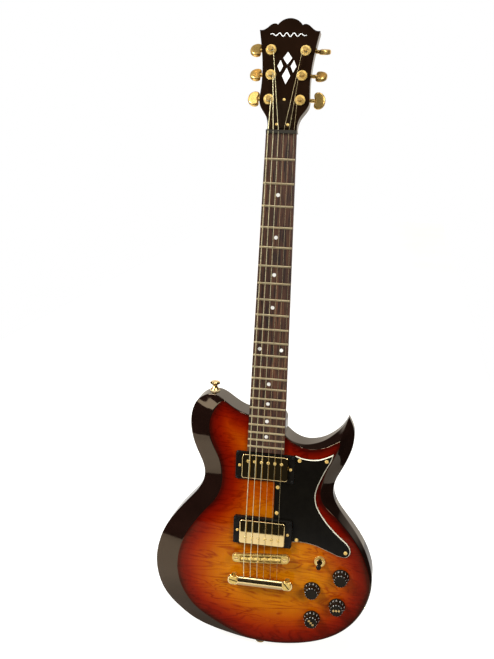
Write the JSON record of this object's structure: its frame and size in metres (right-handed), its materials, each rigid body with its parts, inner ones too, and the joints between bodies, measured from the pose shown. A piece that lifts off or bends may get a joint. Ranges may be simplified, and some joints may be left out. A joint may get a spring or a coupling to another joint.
{
  "type": "electric guitar",
  "caption": "Single-cutaway solid-body electric guitar with carved sunburst top, humbucking pickups, stop tailpiece, pickguard and three-a-side tuners.",
  "frame": {"origin": "seat of the end strap button, on the centreline of the bottom rim", "axes": "+Z along the neck towards the headstock, the front and strings face -Y, +X is the treble side (right, seen from the front)"},
  "size_m": [0.3366, 0.1144, 0.9451],
  "materials": {
    "back_lacquer": "black gloss lacquer",
    "burst_maple": "sunburst gloss lacquer over figured maple",
    "neck_wood": "dark gloss lacquer",
    "head_lacquer": "black gloss lacquer",
    "black_gloss": "gloss black laminate with a white core at the bevel",
    "rosewood": "oiled",
    "nut_black": "satin",
    "ring_black": "satin",
    "gold_mirror": "polished gold plate",
    "bobbin_black": "moulded",
    "gold": "gold plate",
    "pot_metal": "raw",
    "knob_black": "moulded gloss",
    "fret_metal": "polished nickel silver",
    "pearl": "pearl",
    "string_steel": "wound and plain steel",
    "screw_black": "black oxide",
    "cream_felt": "felt"
  },
  "bodies": {
    "guitar": {"body_back": "back_lacquer", "top_cap": "burst_maple", "neck": "neck_wood", "headstock_veneer": "head_lacquer", "truss_rod_cover": "black_gloss", "fingerboard": "rosewood", "nut": "nut_black", "pickguard": "black_gloss", "neck_pickup_ring": "ring_black", "bridge_pickup_ring": "ring_black", "bridge_body": "gold", "tailpiece": "gold", "control_cover": "ring_black", "output_jack": "gold", "switch_body": "pot_metal", "switch_nut": "gold", "frets": "fret_metal", "inlay_dots": "pearl", "strings": "string_steel", "small_wood_screws": "gold", "pickup_ring_screws": "screw_black", "pickup_height_screws": "gold", "tailpiece_studs": "gold", "bridge_posts": "gold", "bridge_thumbwheels": "gold", "intonation_screws": "gold", "strap_buttons": "gold", "strap_felts": "cream_felt", "plate_screws": "screw_black", "pots": "pot_metal", "tuner_housings": "gold", "tuner_ferrules": "gold"},
    "neck_pickup": {"neck_pickup_cover": "gold_mirror", "neck_pickup_coils": "bobbin_black"},
    "bridge_pickup": {"bridge_pickup_cover": "gold_mirror", "bridge_pickup_coils": "bobbin_black"},
    "toggle": {"switch_lever": "gold", "switch_tip": "knob_black"},
    "dial_1": {"knob_1": "knob_black"},
    "dial_2": {"knob_2": "knob_black"},
    "dial_3": {"knob_3": "knob_black"},
    "dial_4": {"knob_4": "knob_black"},
    "string_saddle_1": {"saddle_1": "gold"},
    "string_saddle_2": {"saddle_2": "gold"},
    "string_saddle_3": {"saddle_3": "gold"},
    "string_saddle_4": {"saddle_4": "gold"},
    "string_saddle_5": {"saddle_5": "gold"},
    "string_saddle_6": {"saddle_6": "gold"},
    "tuner_key_1": {"tuner_button_1": "gold"},
    "winding_post_1": {"tuner_post_1": "gold"},
    "tuner_key_2": {"tuner_button_2": "gold"},
    "winding_post_2": {"tuner_post_2": "gold"},
    "tuner_key_3": {"tuner_button_3": "gold"},
    "winding_post_3": {"tuner_post_3": "gold"},
    "tuner_key_4": {"tuner_button_4": "gold"},
    "winding_post_4": {"tuner_post_4": "gold"},
    "tuner_key_5": {"tuner_button_5": "gold"},
    "winding_post_5": {"tuner_post_5": "gold"},
    "tuner_key_6": {"tuner_button_6": "gold"},
    "winding_post_6": {"tuner_post_6": "gold"}
  },
  "joints": [
    {"name": "neck_pickup_height", "type": "slide", "parent": "guitar", "child": "neck_pickup", "axis": [0, -1, 0], "range_m": [-0.0015, 0.0015]},
    {"name": "bridge_pickup_height", "type": "slide", "parent": "guitar", "child": "bridge_pickup", "axis": [0, -1, 0], "range_m": [-0.0015, 0.0015]},
    {"name": "toggle_flip", "type": "hinge", "parent": "guitar", "child": "toggle", "pos_m": [0.0889, -0.021, 0.1488], "axis": [1, 0, 0], "range_deg": [-12.5, 12.5]},
    {"name": "dial_1_turn", "type": "hinge", "parent": "guitar", "child": "dial_1", "pos_m": [0.122, -0.024, 0.1269], "axis": [0, -1, 0], "range_deg": [-150, 150]},
    {"name": "dial_2_turn", "type": "hinge", "parent": "guitar", "child": "dial_2", "pos_m": [0.0796, -0.024, 0.1006], "axis": [0, -1, 0], "range_deg": [-150, 150]},
    {"name": "dial_3_turn", "type": "hinge", "parent": "guitar", "child": "dial_3", "pos_m": [0.1187, -0.024, 0.0779], "axis": [0, -1, 0], "range_deg": [-150, 150]},
    {"name": "dial_4_turn", "type": "hinge", "parent": "guitar", "child": "dial_4", "pos_m": [0.0815, -0.024, 0.0522], "axis": [0, -1, 0], "range_deg": [-150, 150]},
    {"name": "string_saddle_1_slide", "type": "slide", "parent": "guitar", "child": "string_saddle_1", "axis": [-0.0785, 0, 0.9969], "range_m": [-0.002, 0.002]},
    {"name": "string_saddle_2_slide", "type": "slide", "parent": "guitar", "child": "string_saddle_2", "axis": [-0.0785, 0, 0.9969], "range_m": [-0.002, 0.002]},
    {"name": "string_saddle_3_slide", "type": "slide", "parent": "guitar", "child": "string_saddle_3", "axis": [-0.0785, 0, 0.9969], "range_m": [-0.002, 0.002]},
    {"name": "string_saddle_4_slide", "type": "slide", "parent": "guitar", "child": "string_saddle_4", "axis": [-0.0785, 0, 0.9969], "range_m": [-0.002, 0.002]},
    {"name": "string_saddle_5_slide", "type": "slide", "parent": "guitar", "child": "string_saddle_5", "axis": [-0.0785, 0, 0.9969], "range_m": [-0.002, 0.002]},
    {"name": "string_saddle_6_slide", "type": "slide", "parent": "guitar", "child": "string_saddle_6", "axis": [-0.0785, 0, 0.9969], "range_m": [-0.002, 0.002]},
    {"name": "tuner_1_key", "type": "hinge", "parent": "guitar", "child": "tuner_key_1", "pos_m": [-0.0242, 0.05553, 0.88767], "axis": [1, 0, 0], "continuous": true},
    {"name": "tuner_1_post", "type": "hinge", "parent": "guitar", "child": "winding_post_1", "pos_m": [-0.0242, 0.03369, 0.8877], "axis": [0, -0.9613, 0.2756], "continuous": true},
    {"name": "tuner_2_key", "type": "hinge", "parent": "guitar", "child": "tuner_key_2", "pos_m": [-0.0219, 0.0458, 0.85374], "axis": [1, 0, 0], "continuous": true},
    {"name": "tuner_2_post", "type": "hinge", "parent": "guitar", "child": "winding_post_2", "pos_m": [-0.0219, 0.02396, 0.85376], "axis": [0, -0.9613, 0.2756], "continuous": true},
    {"name": "tuner_3_key", "type": "hinge", "parent": "guitar", "child": "tuner_key_3", "pos_m": [-0.0219, 0.03629, 0.82058], "axis": [1, 0, 0], "continuous": true},
    {"name": "tuner_3_post", "type": "hinge", "parent": "guitar", "child": "winding_post_3", "pos_m": [-0.0219, 0.01445, 0.8206], "axis": [0, -0.9613, 0.2756], "continuous": true},
    {"name": "tuner_4_key", "type": "hinge", "parent": "guitar", "child": "tuner_key_4", "pos_m": [0.0242, 0.05553, 0.88767], "axis": [1, 0, 0], "continuous": true},
    {"name": "tuner_4_post", "type": "hinge", "parent": "guitar", "child": "winding_post_4", "pos_m": [0.0242, 0.03369, 0.8877], "axis": [0, -0.9613, 0.2756], "continuous": true},
    {"name": "tuner_5_key", "type": "hinge", "parent": "guitar", "child": "tuner_key_5", "pos_m": [0.0219, 0.0458, 0.85374], "axis": [1, 0, 0], "continuous": true},
    {"name": "tuner_5_post", "type": "hinge", "parent": "guitar", "child": "winding_post_5", "pos_m": [0.0219, 0.02396, 0.85376], "axis": [0, -0.9613, 0.2756], "continuous": true},
    {"name": "tuner_6_key", "type": "hinge", "parent": "guitar", "child": "tuner_key_6", "pos_m": [0.0219, 0.03629, 0.82058], "axis": [1, 0, 0], "continuous": true},
    {"name": "tuner_6_post", "type": "hinge", "parent": "guitar", "child": "winding_post_6", "pos_m": [0.0219, 0.01445, 0.8206], "axis": [0, -0.9613, 0.2756], "continuous": true}
  ],
  "couplings": [
    {"joint": "tuner_1_post", "follows": "tuner_1_key", "ratio": -0.071429},
    {"joint": "tuner_2_post", "follows": "tuner_2_key", "ratio": -0.071429},
    {"joint": "tuner_3_post", "follows": "tuner_3_key", "ratio": -0.071429},
    {"joint": "tuner_4_post", "follows": "tuner_4_key", "ratio": 0.071429},
    {"joint": "tuner_5_post", "follows": "tuner_5_key", "ratio": 0.071429},
    {"joint": "tuner_6_post", "follows": "tuner_6_key", "ratio": 0.071429}
  ]
}
